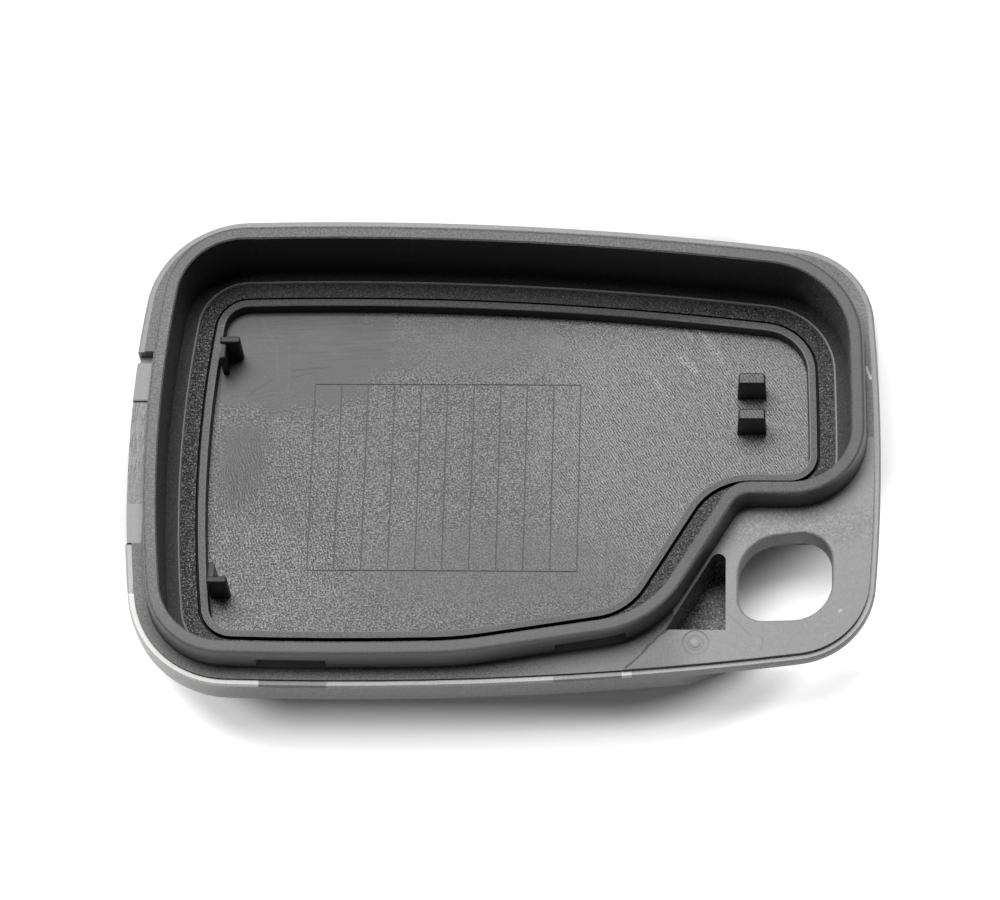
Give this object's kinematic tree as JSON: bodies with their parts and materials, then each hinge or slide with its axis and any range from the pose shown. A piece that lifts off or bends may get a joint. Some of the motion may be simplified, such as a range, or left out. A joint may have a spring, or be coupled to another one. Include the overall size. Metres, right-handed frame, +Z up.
{
  "type": "key fob shell",
  "caption": "Moulded back shell of a card-shaped car key fob: tray with raised wall, stepped floor and a rounded ring hole at one corner.",
  "frame": {"origin": "under the middle of the outline, on the plane that the belly rests on", "axes": "+X along the length to the key-ring end, +Y to the straight long side away from the ring corner, +Z up out of the open side"},
  "size_m": [0.0775, 0.0524, 0.0111],
  "materials": {
    "shell": "fine spark-eroded grain, smooth on the wall"
  },
  "bodies": {
    "root": {"back_shell": "shell"}
  },
  "joints": []
}
